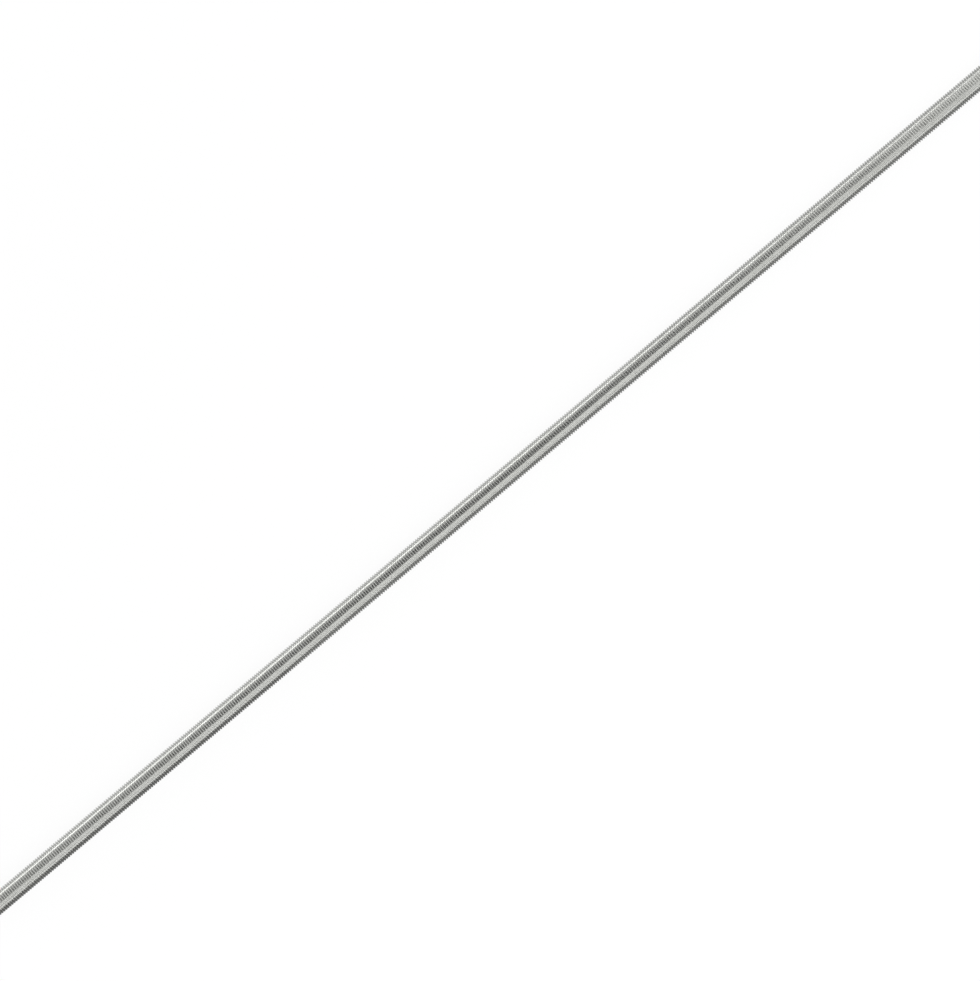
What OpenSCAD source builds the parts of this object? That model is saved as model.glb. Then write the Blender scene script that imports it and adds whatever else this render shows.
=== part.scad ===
// Fully threaded rod (studding) with an ISO metric coarse thread.
// The rod lies along +X, and the origin is the centre of its left end face.
// Millimetres throughout.

/* [Rod] */
// Length of the rod from end face to end face
rod_length = 1000; // [100:5:2000]
// Major diameter of the thread, over its crests
major_d = 16; // [10:0.5:30]

/* [Thread] */
// Pitch: distance from one crest to the next
thread_pitch = 2; // [1:0.25:3.5]
// Angle between two facing flanks
flank_angle = 60; // [50:1:70]
// Share of the sharp V form's height that is missing at the crest
crest_cut = 0.125; // [0.05:0.005:0.25]
// Share of the sharp V form's height that is missing at the root
root_cut = 0.1667; // [0.05:0.0001:0.3]

/* [Ends] */
// Angle between the chamfer at each end and the rod's axis
chamfer_angle = 45; // [30:1:60]
// How far the end face's rim lies inside the thread's root
chamfer_relief = 0.2; // [0.05:0.05:1]

/* [Hidden] */

// Height of the sharp V form, and of what is left of it
sharp_height = thread_pitch / 2 / tan(flank_angle / 2);
thread_height = sharp_height * (1 - crest_cut - root_cut);

crest_r = major_d / 2;
root_r = crest_r - thread_height;
crest_flat = thread_pitch * crest_cut;
root_flat = thread_pitch * root_cut;

// The rim of the end face, and the length of the cone behind it
face_r = root_r - chamfer_relief;
chamfer_length = (crest_r - face_r) / tan(chamfer_angle);

// Whole turns that cover the rod
turns = ceil(rod_length / thread_pitch);

// Straight runs round the rod where it is drawn as a mesh
round_steps = 96;

// One ridge of the thread as [radius, distance along the axis], from root to root
function ridge(centre) =
    let (foot = (thread_pitch - root_flat) / 2, top = crest_flat / 2)
    [
        [root_r, centre - foot],
        [crest_r, centre - top],
        [crest_r, centre + top],
        [root_r, centre + foot]
    ];

// Half section of an endless thread, long enough for the rod
module thread_section() {
    ridges = [for (turn = [0 : turns - 1]) each ridge((turn + 0.5) * thread_pitch)];
    polygon(concat(
        [[0, 0], [root_r, 0]],
        ridges,
        [[root_r, turns * thread_pitch], [0, turns * thread_pitch]]
    ));
}

// Half section of the chamfered bar that the thread is formed on
module blank_section() {
    polygon([
        [0, 0],
        [face_r, 0],
        [crest_r, chamfer_length],
        [crest_r, rod_length - chamfer_length],
        [face_r, rod_length],
        [0, rod_length]
    ]);
}

module threaded_rod() {
    color("silver")
    rotate([0, 90, 0])
    rotate_extrude($fn = round_steps)
    intersection() {
        blank_section();
        thread_section();
    }
}

threaded_rod();
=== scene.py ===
import math

import bpy
from mathutils import Matrix, Vector


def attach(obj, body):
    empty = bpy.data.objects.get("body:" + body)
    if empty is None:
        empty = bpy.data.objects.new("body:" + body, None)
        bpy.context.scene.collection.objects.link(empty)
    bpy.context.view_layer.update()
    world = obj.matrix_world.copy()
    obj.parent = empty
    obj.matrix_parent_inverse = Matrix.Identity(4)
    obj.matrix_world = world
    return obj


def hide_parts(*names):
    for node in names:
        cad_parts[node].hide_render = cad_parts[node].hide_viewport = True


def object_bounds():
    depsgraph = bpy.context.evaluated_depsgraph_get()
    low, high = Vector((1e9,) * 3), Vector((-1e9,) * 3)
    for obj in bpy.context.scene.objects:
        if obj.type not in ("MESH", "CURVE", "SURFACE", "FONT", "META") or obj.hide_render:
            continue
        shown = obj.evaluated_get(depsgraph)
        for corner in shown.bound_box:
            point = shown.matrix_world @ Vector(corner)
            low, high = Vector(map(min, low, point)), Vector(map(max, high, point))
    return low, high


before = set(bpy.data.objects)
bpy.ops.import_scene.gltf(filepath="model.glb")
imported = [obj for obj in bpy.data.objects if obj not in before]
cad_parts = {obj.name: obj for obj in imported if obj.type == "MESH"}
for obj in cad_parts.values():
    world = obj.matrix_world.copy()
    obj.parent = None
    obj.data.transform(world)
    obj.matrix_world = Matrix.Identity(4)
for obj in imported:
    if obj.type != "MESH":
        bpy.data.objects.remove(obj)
cadLow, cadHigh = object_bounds()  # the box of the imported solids
crestRadius = (cadHigh.z - cadLow.z) / 2
middle = (cadLow.x + cadHigh.x) / 2


class Wire:  # an output socket that arithmetic can be done on
    def __init__(self, maker, socket):
        self.maker = maker
        self.socket = socket

    def output(self, name):  # another output of the same node
        return Wire(self.maker, self.socket.node.outputs[name])

    def combine(self, operation, *values):
        return self.maker.add("ShaderNodeMath", {"operation": operation}, dict(enumerate(values)))

    def math(self, operation, *others):  # an operation whose first value is this socket
        return self.combine(operation, self, *others)

    def __add__(self, other):
        return self.combine("ADD", self, other)

    def __radd__(self, other):
        return self.combine("ADD", other, self)

    def __sub__(self, other):
        return self.combine("SUBTRACT", self, other)

    def __rsub__(self, other):
        return self.combine("SUBTRACT", other, self)

    def __mul__(self, other):
        return self.combine("MULTIPLY", self, other)

    def __rmul__(self, other):
        return self.combine("MULTIPLY", other, self)

    def __truediv__(self, other):
        return self.combine("DIVIDE", self, other)

    def __rtruediv__(self, other):
        return self.combine("DIVIDE", other, self)

    def __pow__(self, exponent):
        return self.combine("POWER", self, exponent)

    def __lt__(self, other):
        return self.combine("LESS_THAN", self, other)

    def __gt__(self, other):
        return self.combine("GREATER_THAN", self, other)


class Maker:  # adds nodes to one tree
    def __init__(self, tree):
        self.tree = tree

    def socketOf(self, sockets, key):
        if isinstance(key, int):
            return sockets[key]
        return next(s for s in sockets if key in (s.name, s.identifier) and s.enabled)

    def feed(self, socket, value):
        if isinstance(value, Wire):
            self.tree.links.new(value.socket, socket)
        else:
            socket.default_value = value

    def add(self, kind, settings=None, values=None):
        node = self.tree.nodes.new(kind)
        for name, setting in (settings or {}).items():
            setattr(node, name, setting)
        for key, value in (values or {}).items():
            for one in value if isinstance(value, list) else [value]:
                self.feed(self.socketOf(node.inputs, key), one)
        shown = [s for s in node.outputs if s.enabled]
        return Wire(self, shown[0]) if shown else node


rod = {
    "pitch": 0.002,  # crest to crest
    "flankAngle": 60.0,  # between two facing flanks, degrees
    "crestCut": 1 / 8,  # share of the sharp V that is missing at the crest
    "rootCut": 1 / 6,  # and at the root, which is an arc that touches both flanks
    "rootSteps": 2,  # straight runs that make up the root's arc
    "crestSteps": 2,  # and the crest's
    "turnSteps": 32,  # straight runs round one turn
    "spareTurns": 2,  # thread past each end, before the ends are cut
    "chamferAngle": 45.0,  # between the chamfer and the axis, degrees
    "chamferRelief": 0.0002,  # how far the end face's rim lies inside the root
    "chamferSteps": 112,  # straight runs round the chamfer
    "barOversize": 1.25,  # the cutting bar's radius over the crest's
    "weld": 0.000001,  # points of the wound strip this near become one
    "cutWeld": 0.000002,  # and so do those that the cut leaves
    "mapColumns": 4,  # lengths of rod side by side in the map
    "mapHeight": 0.93,  # share of the map that a column takes
    "mapMargin": 0.006,  # below the columns
    "mapDisc": 0.054,  # share that each end face takes, above them
    "mapFlat": 0.9,  # a cut face that points along the rod more than this is an end face
}


def pickByIndex(make, kind, index, options):
    picked = make.add("GeometryNodeIndexSwitch", {"data_type": kind})
    node = picked.socket.node
    while len(node.index_switch_items) < len(options):
        node.index_switch_items.new()
    for place, option in enumerate([index, *options]):
        make.feed(node.inputs[place], option)
    return picked


def position(make):
    return make.add("ShaderNodeSeparateXYZ", {}, {0: make.add("GeometryNodeInputPosition")})


def distanceFromAxis(point):
    return (point.output("Y") ** 2 + point.output("Z") ** 2) ** 0.5


def angleRoundAxis(point):
    return point.output("Z").math("ARCTAN2", point.output("Y"))


def ofFace(make, field):  # the field's value at the middle of the face
    settings = {"data_type": "FLOAT_VECTOR", "domain": "FACE"}
    value = make.add("GeometryNodeFieldOnDomain", settings, {0: make.add(field)})
    return make.add("ShaderNodeSeparateXYZ", {}, {0: value})


def cutFace(make):
    settings = {"data_type": "BOOLEAN"}
    return make.add("GeometryNodeInputNamedAttribute", settings, {"Name": "cutFace"})


def move(make, geometry, place, selection=True):
    values = {"Geometry": geometry, "Selection": selection, "Position": place}
    return make.add("GeometryNodeSetPosition", {}, values)


def weld(make, geometry, distance):
    values = {"Geometry": geometry, "Distance": distance}
    return make.add("GeometryNodeMergeByDistance", {}, values)


def threadSizes(given):
    size = {
        "length": given.output("Length"),
        "pitch": given.output("Pitch"),
        "crestRadius": given.output("Crest Radius"),
        "halfAngle": given.output("Flank Angle") / 2,
        "turnSteps": given.output("Turn Steps"),
        "spareTurns": given.output("Spare Turns"),
    }
    sharpHeight = size["pitch"] / 2 / size["halfAngle"].math("TANGENT")
    size["rootGap"] = sharpHeight * given.output("Root Cut")
    size["crestGap"] = sharpHeight * given.output("Crest Cut")
    threadHeight = sharpHeight - size["rootGap"] - size["crestGap"]
    size["rootRadius"] = size["crestRadius"] - threadHeight
    size["bulge"] = 1 / size["halfAngle"].math("SINE") - 1  # an arc's gap over its radius
    size["steepest"] = math.pi / 2 - size["halfAngle"]  # tilt of the flanks
    return size


def threadSection(make, size):  # a hollow arc at the root and a round one at the crest
    points = []
    for centre, base, gap, outward, steps in (
        (0.0, size["rootRadius"], size["rootGap"], 1, rod["rootSteps"]),
        (size["pitch"] / 2, size["crestRadius"], size["crestGap"], -1, rod["crestSteps"]),
    ):
        arcRadius = gap / size["bulge"]
        for step in range(steps + 1):
            turn = size["steepest"] * (2 * step / steps - 1)
            along = arcRadius * turn.math("SINE") + centre
            out = base + arcRadius * (1 - turn.math("COSINE")) * outward
            points.append(make.add("ShaderNodeCombineXYZ", {}, {"X": along, "Y": out}))
    return points


# a strip as wide as one pitch, wound round the axis: each turn's edge meets the next one's
def windStrip(make, size):
    points = threadSection(make, size)
    onePitch = make.add("ShaderNodeCombineXYZ", {}, {"X": size["pitch"]})
    nextRoot = {0: points[0], 1: onePitch}
    points.append(make.add("ShaderNodeVectorMath", {"operation": "ADD"}, nextRoot))
    turns = (size["length"] / size["pitch"]).math("CEIL") + size["spareTurns"] * 2
    counts = {"Vertices X": turns * size["turnSteps"] + 1, "Vertices Y": len(points)}
    strip = make.add("GeometryNodeMeshGrid", {}, counts)
    index = make.add("GeometryNodeInputIndex")
    wound = ((index + 0.5) / len(points)).math("FLOOR")  # steps so far
    picked = pickByIndex(make, "VECTOR", index - wound * len(points), points)
    point = make.add("ShaderNodeSeparateXYZ", {}, {0: picked})
    angle = wound.math("MODULO", size["turnSteps"]) / size["turnSteps"] * math.tau
    lead = (wound / size["turnSteps"] - size["spareTurns"]) * size["pitch"]
    place = {
        "X": point.output("X") + lead,
        "Y": point.output("Y") * angle.math("COSINE"),
        "Z": point.output("Y") * angle.math("SINE"),
    }
    thread = move(make, strip, make.add("ShaderNodeCombineXYZ", {}, place))
    return weld(make, thread, rod["weld"])


# both open ends are drawn to a point on the axis, past the rod's ends
def closeEnds(make, size, thread):
    faces = make.add("GeometryNodeInputMeshEdgeNeighbors")
    closed = make.add(
        "GeometryNodeExtrudeMesh",
        {"mode": "EDGES"},
        {"Mesh": thread, "Selection": faces < 2, "Offset Scale": 0.0},
    )
    farEnd = position(make).output("X") > size["length"] / 2
    spare = size["pitch"] * size["spareTurns"] * 2
    reach = (size["length"] + spare * 2) * farEnd - spare
    tip = make.add("ShaderNodeCombineXYZ", {}, {"X": reach})
    return weld(make, move(make, closed, tip, closed.output("Top")), rod["weld"])


# the bar with its two chamfers, which cuts the thread to length
def chamferedBar(make, size, given):
    faceRadius = size["rootRadius"] - given.output("Chamfer Relief")
    barRadius = size["crestRadius"] * rod["barOversize"]
    cone = (barRadius - faceRadius) / given.output("Chamfer Angle").math("TANGENT")
    length = size["length"]
    index = make.add("GeometryNodeInputIndex")
    places = pickByIndex(make, "FLOAT", index, (0.0, cone, length - cone, length))
    widths = pickByIndex(make, "FLOAT", index, (faceRadius, barRadius, barRadius, faceRadius))
    spine = make.add("GeometryNodeMeshLine", {"mode": "OFFSET"}, {"Count": 4})
    spine = move(make, spine, make.add("ShaderNodeCombineXYZ", {}, {"X": places}))
    spine = make.add("GeometryNodeMeshToCurve", {}, {"Mesh": spine})
    ring = make.add(
        "GeometryNodeCurvePrimitiveCircle",
        {"mode": "RADIUS"},
        {"Resolution": given.output("Chamfer Steps"), "Radius": 1.0},
    )
    bar = make.add(
        "GeometryNodeCurveToMesh",
        {},
        {"Curve": spine, "Profile Curve": ring, "Scale": widths, "Fill Caps": True},
    )
    return make.add(
        "GeometryNodeStoreNamedAttribute",
        {"data_type": "BOOLEAN", "domain": "FACE"},
        {"Geometry": bar, "Name": "cutFace", "Value": True},
    )


def cutToLength(make, thread, bar):
    cut = make.add(
        "GeometryNodeMeshBoolean",
        {"operation": "INTERSECT", "solver": "MANIFOLD"},
        {"Mesh 2": [thread, bar]},
    )
    whole = weld(make, cut, rod["cutWeld"])
    return make.add("GeometryNodeSetShadeSmooth", {"domain": "FACE"}, {"Geometry": whole})


# the direction in which each corner faces, worked out from the section and not from its facets
def smoothFacing(make, size, whole):
    here = position(make)
    radius = distanceFromAxis(here)
    angle = angleRoundAxis(here)
    pitch = size["pitch"]
    fromRoot = (here.output("X") - angle * pitch / math.tau).math("WRAP", pitch / 2, pitch / -2)
    distance = fromRoot.math("ABSOLUTE")
    tilt = size["steepest"]
    for fromArc, gap in ((distance, size["rootGap"]), (pitch / 2 - distance, size["crestGap"])):
        onArc = (fromArc / gap * size["bulge"]).math("MINIMUM", 1.0)
        tilt = tilt.math("MINIMUM", onArc.math("ARCSINE"))
    along = tilt.math("SINE") * fromRoot.math("SIGN")
    away = tilt.math("COSINE")
    around = along * pitch / math.tau / radius
    across = here.output("Y") / radius
    up = here.output("Z") / radius
    threadFacing = make.add(
        "ShaderNodeCombineXYZ",
        {},
        {"X": along * -1, "Y": away * across - around * up, "Z": away * up + around * across},
    )
    faceAlong = ofFace(make, "GeometryNodeInputNormal").output("X")
    slope = (1 - faceAlong**2).math("MAXIMUM", 0.0) ** 0.5
    barFacing = {"X": faceAlong, "Y": slope * across, "Z": slope * up}
    barFacing = make.add("ShaderNodeCombineXYZ", {}, barFacing)
    facing = make.add(
        "GeometryNodeSwitch",
        {"input_type": "VECTOR"},
        {"Switch": cutFace(make), "False": threadFacing, "True": barFacing},
    )
    facing = make.add("ShaderNodeVectorMath", {"operation": "NORMALIZE"}, {0: facing})
    return make.add(
        "GeometryNodeSetMeshNormal",
        {"mode": "FREE", "domain": "CORNER"},
        {"Mesh": whole, "Custom Normal": facing},
    )


# a map for paint and wear: the surface unrolled in columns side by side, with the ends above
def unrolledMap(make, size, whole):
    here = position(make)
    face = ofFace(make, "GeometryNodeInputPosition")
    columnLength = size["length"] / rod["mapColumns"]
    mapScale = rod["mapHeight"] / columnLength
    column = (face.output("X") / columnLength).math("FLOOR")
    column = column.math("MINIMUM", rod["mapColumns"] - 1.0)
    angle = angleRoundAxis(here)
    faceAngle = angleRoundAxis(face)
    turned = faceAngle + (angle - faceAngle).math("WRAP", math.pi, -math.pi)
    sideways = (column + 0.5) / rod["mapColumns"] + turned * size["crestRadius"] * mapScale
    upwards = rod["mapMargin"] + (here.output("X") - column * columnLength) * mapScale

    faceAlong = ofFace(make, "GeometryNodeInputNormal").output("X")
    atEnd = cutFace(make) * (faceAlong.math("ABSOLUTE") > rod["mapFlat"])
    farEnd = face.output("X") > size["length"] / 2
    discSideways = (farEnd + 0.5) * rod["mapDisc"] + here.output("Y") * mapScale
    discUpwards = 1 - rod["mapDisc"] / 2 + here.output("Z") * mapScale
    place = {
        "X": sideways + (discSideways - sideways) * atEnd,
        "Y": upwards + (discUpwards - upwards) * atEnd,
    }
    return make.add(
        "GeometryNodeStoreNamedAttribute",
        {"data_type": "FLOAT2", "domain": "CORNER"},
        {
            "Geometry": whole,
            "Name": "OFBake",
            "Value": make.add("ShaderNodeCombineXYZ", {}, place),
        },
    )


def threadTree(sizes):
    tree = bpy.data.node_groups.new("threadAndEnds", "GeometryNodeTree")
    kinds = {float: "NodeSocketFloat", int: "NodeSocketInt"}
    for name, value in sizes.items():
        kind = kinds.get(type(value), "NodeSocketMaterial")
        tree.interface.new_socket(name, in_out="INPUT", socket_type=kind)
    tree.interface.new_socket("Mesh", in_out="OUTPUT", socket_type="NodeSocketGeometry")
    make = Maker(tree)
    given = make.add("NodeGroupInput")
    size = threadSizes(given)
    thread = closeEnds(make, size, windStrip(make, size))
    whole = cutToLength(make, thread, chamferedBar(make, size, given))
    whole = smoothFacing(make, size, whole)
    whole = unrolledMap(make, size, whole)
    whole = make.add("GeometryNodeRealizeInstances", {}, {"Geometry": whole})
    plated = {"Geometry": whole, "Material": given.output("Material")}
    whole = make.add("GeometryNodeSetMaterial", {}, plated)
    make.add("NodeGroupOutput", {}, {0: whole})
    return tree


def makeRod(material):
    sizes = {
        "Length": cadHigh.x - cadLow.x,
        "Crest Radius": crestRadius,
        "Pitch": rod["pitch"],
        "Flank Angle": math.radians(rod["flankAngle"]),
        "Crest Cut": rod["crestCut"],
        "Root Cut": rod["rootCut"],
        "Chamfer Angle": math.radians(rod["chamferAngle"]),
        "Chamfer Relief": rod["chamferRelief"],
        "Turn Steps": rod["turnSteps"],
        "Spare Turns": rod["spareTurns"],
        "Chamfer Steps": rod["chamferSteps"],
        "Material": material,
    }
    tree = threadTree(sizes)
    piece = bpy.data.objects.new("threadedRod", bpy.data.meshes.new("threadedRod"))
    bpy.context.scene.collection.objects.link(piece)
    winding = piece.modifiers.new("winding", "NODES")
    winding.node_group = tree
    for item in tree.interface.items_tree:
        if item.in_out == "INPUT":
            winding[item.identifier] = sizes[item.name]
    depsgraph = bpy.context.evaluated_depsgraph_get()
    mesh = bpy.data.meshes.new_from_object(piece.evaluated_get(depsgraph))
    piece.modifiers.remove(winding)
    piece.data = mesh
    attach(piece, "root")
    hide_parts("threaded_rod")
    print("rod:", len(mesh.vertices), "vertices,", len(mesh.polygons), "faces")


finish = {
    "colour": (0.66, 0.665, 0.65, 1),  # bright zinc plating
    "dullColour": (0.61, 0.615, 0.59, 1),  # where the plating has clouded
    "crestColour": (0.85, 0.85, 0.82, 1),  # burnished on the crests
    "cloudDulls": 0.30,  # how far a cloud takes the colour to the dull one
    "streakDulls": 0.15,  # and a streak
    "crestFrom": 0.00013,  # how far below the crest its finish starts
    "crestFull": 0.00006,  # and where it is all there is
    "rootFull": 0.00003,  # up to here above the root its finish is all there is
    "rootTo": 0.00022,  # and here it ends
    "rootShadeAndGrime": 0.02,  # share of the colour that is lost at the thread's root: painted shade in the hollow, with some grime
    "rootShadeAndGrimeEven": 0.7,  # part of that which is the same everywhere
    "rootShadeAndGrimeClouds": 0.6,  # and part that follows the clouds
    "crestRoughness": 0.30,
    "flankRoughness": 0.09,
    "rootRoughness": 0.16,
    "cutRoughness": 0.30,
    "cloudScale": 70.0,  # clouds in a metre
    "cloudDetail": 5.0,
    "cloudGrain": 0.62,  # how coarse the clouds' edges are
    "cloudFrom": 0.38,  # the noise that starts to dull the plating
    "cloudTo": 0.68,  # and that has dulled it
    "cloudRoughens": 0.16,  # how much the roughness changes from no noise to full noise
    "streaksAcross": 16000.0,  # rolling streaks in a metre along the rod
    "streaksAround": 2.5,  # and in one radian or so round it
    "streakDetail": 3.0,
    "streakRoughens": 0.10,
    "nickScale": 900.0,  # spots in a metre, a few of which are nicks
    "nickDetail": 2.0,
    "nickShare": 0.70,  # threshold, so that few spots pass it
    "nickEdge": 0.06,  # from the threshold to the nick's full depth
    "nickShade": 0.35,  # share of the colour that is lost in a nick
    "nickRoughens": 0.2,
    "bumpHeight": 0.00002,  # metres
    "bumpStrength": 0.5,
    "streakHeight": 0.25,  # these three in bump heights
    "cloudHeight": 0.2,
    "nickDepth": 1.5,
    "cutMarks": 5.0,  # how much deeper the marks of the cut are than the rolling streaks
}


def platedSteel():
    material = bpy.data.materials.new("platedSteel")
    material.use_nodes = True
    material.node_tree.nodes.clear()
    make = Maker(material.node_tree)
    place = make.add("ShaderNodeTexCoord").output("Object")
    point = make.add("ShaderNodeSeparateXYZ", {}, {0: place})
    radius = distanceFromAxis(point)
    sharpHeight = rod["pitch"] / 2 / math.tan(math.radians(rod["flankAngle"]) / 2)
    rootRadius = crestRadius - sharpHeight * (1 - rod["crestCut"] - rod["rootCut"])

    def between(value, low, high):
        return make.add(
            "ShaderNodeMapRange",
            {"interpolation_type": "SMOOTHSTEP"},
            {"Value": value, "From Min": low, "From Max": high},
        )

    onCrest = between(radius, crestRadius - finish["crestFrom"], crestRadius - finish["crestFull"])
    inRoot = 1 - between(radius, rootRadius + finish["rootFull"], rootRadius + finish["rootTo"])
    isCut = make.add("ShaderNodeAttribute", {"attribute_name": "cutFace"}).output("Fac")

    # streaks left by the rolls run round the rod, and the marks of the cut run in rings
    acrossMarks = point.output("X") * (1 - isCut) + radius * isCut
    marks = make.add(
        "ShaderNodeCombineXYZ",
        {},
        {
            "X": acrossMarks * finish["streaksAcross"],
            "Y": point.output("Y") / radius * finish["streaksAround"],
            "Z": point.output("Z") / radius * finish["streaksAround"],
        },
    )
    streaks = make.add(
        "ShaderNodeTexNoise",
        {},
        {"Vector": marks, "Scale": 1.0, "Detail": finish["streakDetail"]},
    )
    clouds = make.add(
        "ShaderNodeTexNoise",
        {},
        {
            "Vector": place,
            "Scale": finish["cloudScale"],
            "Detail": finish["cloudDetail"],
            "Roughness": finish["cloudGrain"],
        },
    )
    nicks = make.add(
        "ShaderNodeTexNoise",
        {},
        {"Vector": place, "Scale": finish["nickScale"], "Detail": finish["nickDetail"]},
    )
    nicks = between(nicks, finish["nickShare"], finish["nickShare"] + finish["nickEdge"]) * onCrest

    clouded = between(clouds, finish["cloudFrom"], finish["cloudTo"])
    dulled = clouded * finish["cloudDulls"] + streaks * finish["streakDulls"]
    colour = make.add(
        "ShaderNodeMix",
        {"data_type": "RGBA"},
        {"Factor": dulled, "A_Color": finish["colour"], "B_Color": finish["dullColour"]},
    )
    colour = make.add(
        "ShaderNodeMix",
        {"data_type": "RGBA"},
        {"Factor": onCrest, "A_Color": colour, "B_Color": finish["crestColour"]},
    )
    # painted shade in the thread's root, with some grime that follows the clouds, darkens the
    # colour there
    rootShadeAndGrime = inRoot * finish["rootShadeAndGrime"] * (finish["rootShadeAndGrimeEven"] + clouds * finish["rootShadeAndGrimeClouds"])
    shade = 1 - rootShadeAndGrime - nicks * finish["nickShade"]
    shade = make.add("ShaderNodeCombineXYZ", {}, {"X": shade, "Y": shade, "Z": shade})
    colour = make.add("ShaderNodeVectorMath", {"operation": "MULTIPLY"}, {0: colour, 1: shade})

    flank = finish["flankRoughness"]
    roughness = flank + onCrest * (finish["crestRoughness"] - flank)
    roughness = roughness + inRoot * (finish["rootRoughness"] - flank)
    roughness = roughness + (finish["cutRoughness"] - roughness) * isCut
    roughness = roughness + (clouds - 0.5) * finish["cloudRoughens"]
    roughness = roughness + (streaks - 0.5) * finish["streakRoughens"]
    roughness = roughness + nicks * finish["nickRoughens"]

    height = streaks * finish["streakHeight"] * (1 + isCut * finish["cutMarks"])
    height = height + clouds * finish["cloudHeight"] - nicks * finish["nickDepth"]
    bump = make.add(
        "ShaderNodeBump",
        {},
        {
            "Strength": finish["bumpStrength"],
            "Distance": finish["bumpHeight"],
            "Height": height,
        },
    )
    shader = make.add(
        "ShaderNodeBsdfPrincipled",
        {},
        {"Base Color": colour, "Metallic": 1.0, "Roughness": roughness, "Normal": bump},
    )
    make.add("ShaderNodeOutputMaterial", {}, {"Surface": shader})
    return material


makeRod(platedSteel())

studio = {
    "floorColour": 0.10,
    "floorGlow": 0.92,  # what the camera and the metal see of the floor besides
    "floorLength": 8.0,
    "floorWidth": 2.6,  # up to the foot of the lowest lamps, and the white room is behind them
    "floorGap": 0.00001,  # below the rod
    "cardLift": 0.0001,  # above the floor
    "lampDistance": 1.3,  # from the rod's axis
    # name: angles that the lamp covers (0 is straight up, and positive towards -Y),
    # start and end along the rod from its middle, level
    "lamps": {
        "edgeLeft": (-90, -80, -3.0, -0.45, 2.90),
        "edge": (-90, -80, -0.45, 0.45, 4.30),
        "edgeRight": (-90, -80, 0.45, 3.0, 0.90),
        "lowBox": (-80, -70, -3.0, 3.0, 1.12),
        "backFill": (-70, -40, -0.45, 0.45, 0.51),
        "key": (13, 60.5, -0.45, 0.45, 1.61),
        "keyLeft": (12, 58.5, -3.0, -0.45, 1.07),
        "keyRight": (11, 65.5, 0.45, 3.0, 0.98),
        "side": (65, 84, -3.0, 0.45, 1.48),
        "sideRight": (69, 90, 0.45, 3.0, 1.62),
        "topLeft": (-70, 10, -0.9, -0.48, 0.47),
        "topFarLeft": (-70, 10, -3.0, -0.9, 0.92),
        "topRight": (-70, 10, 0.53, 0.9, 1.25),
        "topFarRight": (-70, 10, 0.9, 3.0, 1.50),
    },
    # name: start and end across from the rod, start and end along it from its middle, level;
    # only the metal sees these cards, which glow at their level: painted reflections of a shaded
    # floor beside the rod, dark on the -Y side and paler on the +Y side
    "cards": {
        "darkLeft": (-0.2, 0.0, -3.0, -0.2, 0.22),
        "darkCard": (-0.2, 0.0, -0.2, 3.0, 0.31),
        "paleSide": (0.0, 0.04, -3.0, 0.15, 0.72),
        "paleRight": (0.0, 0.04, 0.15, 3.0, 0.61),
    },
}


def glowing(name, colour, glow):
    material = bpy.data.materials.new(name)
    material.use_nodes = True
    material.node_tree.nodes.clear()
    make = Maker(material.node_tree)
    path = make.add("ShaderNodeLightPath")
    seen = path.output("Is Camera Ray") + path.output("Is Glossy Ray")
    seen = (seen + path.output("Is Transmission Ray")).math("MINIMUM", 1.0)
    diffuse = make.add("ShaderNodeBsdfDiffuse", {}, {"Color": (colour, colour, colour, 1)})
    shine = make.add("ShaderNodeEmission", {}, {"Strength": seen * glow})
    both = make.add("ShaderNodeAddShader", {}, {0: diffuse, 1: shine})
    make.add("ShaderNodeOutputMaterial", {}, {"Surface": both})
    return material


def sheet(name, across, along, level, material):
    mesh = bpy.data.meshes.new(name)
    left, right = (middle + place for place in along)
    corners = [(left, across[0]), (right, across[0]), (right, across[1]), (left, across[1])]
    mesh.from_pydata([(x, y, level) for x, y in corners], [], [(0, 1, 2, 3)])
    mesh.materials.append(material)
    piece = bpy.data.objects.new(name, mesh)
    bpy.context.scene.collection.objects.link(piece)
    return piece


def makeFloorAndCards():
    halfLength = studio["floorLength"] / 2
    halfWidth = studio["floorWidth"] / 2
    level = cadLow.z - studio["floorGap"]
    paint = glowing("paleFloor", studio["floorColour"], studio["floorGlow"])
    sheet("floor", (-halfWidth, halfWidth), (-halfLength, halfLength), level, paint)
    # each card glows at its level and paints a shaded floor into the metal's reflections
    for name, (near, far, start, end, glow) in studio["cards"].items():
        paint = glowing(name, 0.0, glow)
        card = sheet(name, (near, far), (start, end), level + studio["cardLift"], paint)
        card.visible_camera = False
        card.visible_shadow = False
        card.visible_diffuse = False


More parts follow.
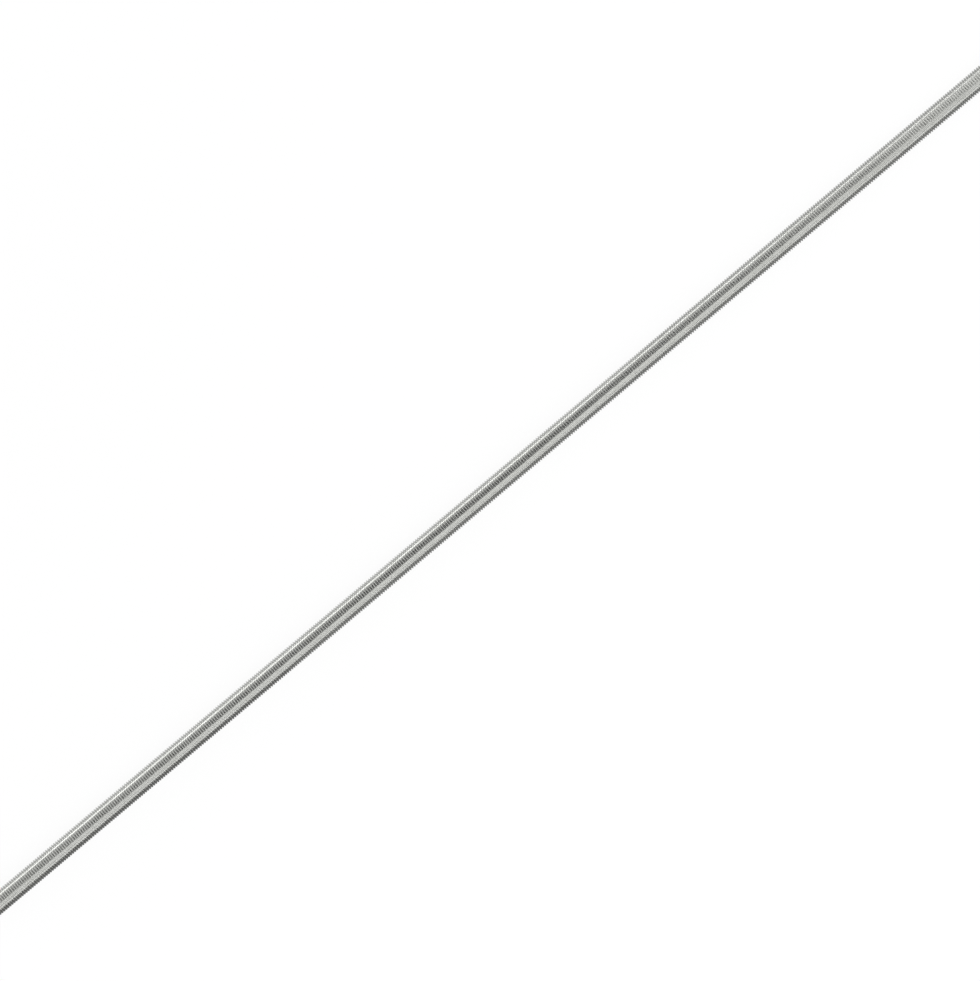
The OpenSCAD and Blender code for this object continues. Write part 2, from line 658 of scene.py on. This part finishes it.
def makeLamps():
    distance = studio["lampDistance"]
    for name, (angle, endAngle, start, end, level) in studio["lamps"].items():
        lamp = bpy.data.lights.new(name, "AREA")
        lamp.shape = "RECTANGLE"
        lamp.size = end - start
        lamp.size_y = 2 * distance * math.tan(math.radians(endAngle - angle) / 2)
        lamp.energy = math.pi * lamp.size * lamp.size_y * level
        holder = bpy.data.objects.new(name, lamp)
        bpy.context.scene.collection.objects.link(holder)
        turn = math.radians(angle + endAngle) / 2
        across = Vector((0, -math.sin(turn), math.cos(turn))) * distance
        holder.location = Vector((middle + (start + end) / 2, 0, 0)) + across
        holder.rotation_euler = (turn, 0, 0)
        holder.visible_camera = False


def makeRoom():  # white to the camera, and dark to the metal where there is no lamp
    world = bpy.data.worlds.new("studio")
    world.use_nodes = True
    bpy.context.scene.world = world
    world.node_tree.nodes.clear()
    make = Maker(world.node_tree)
    isCamera = make.add("ShaderNodeLightPath").output("Is Camera Ray")
    sky = make.add("ShaderNodeBackground", {}, {"Strength": isCamera, "Color": (1, 1, 1, 1)})
    make.add("ShaderNodeOutputWorld", {}, {"Surface": sky})


camera = {
    "focal": 145.1,  # millimetres, on the sensor below
    "sensor": 36.0,
    "nearest": 0.01,  # what is nearer isn't drawn
    "distance": 2.9587,
    "lean": 2.1,  # degrees towards the rod's far end
    "turn": 40.04,  # the rod's slope in the frame, degrees
    "along": -0.00051,  # the middle of the frame lies this far along from the rod's middle
    "aside": -0.00026,  # and this far across from its axis
}


def makeCamera():
    lens = bpy.data.cameras.new("camera")
    lens.sensor_width = camera["sensor"]
    lens.lens = camera["focal"]
    lens.clip_start = camera["nearest"]
    eye = bpy.data.objects.new("camera", lens)
    bpy.context.scene.collection.objects.link(eye)
    lean = math.radians(camera["lean"])
    target = Vector((middle + camera["along"], camera["aside"], 0))
    back = Vector((math.sin(lean), 0, math.cos(lean)))
    along = Vector((math.cos(lean), 0, -math.sin(lean)))
    aside = back.cross(along)
    turn = math.radians(camera["turn"])
    right = along * math.cos(turn) - aside * math.sin(turn)
    up = along * math.sin(turn) + aside * math.cos(turn)
    axes = Matrix((right, up, back)).transposed()
    eye.matrix_world = Matrix.Translation(target + back * camera["distance"]) @ axes.to_4x4()
    bpy.context.scene.camera = eye


makeFloorAndCards()
makeLamps()
makeRoom()
print("stage: floor, cards, lamps")
makeCamera()
print("camera set")
bpy.context.scene.view_settings.view_transform = "Standard"
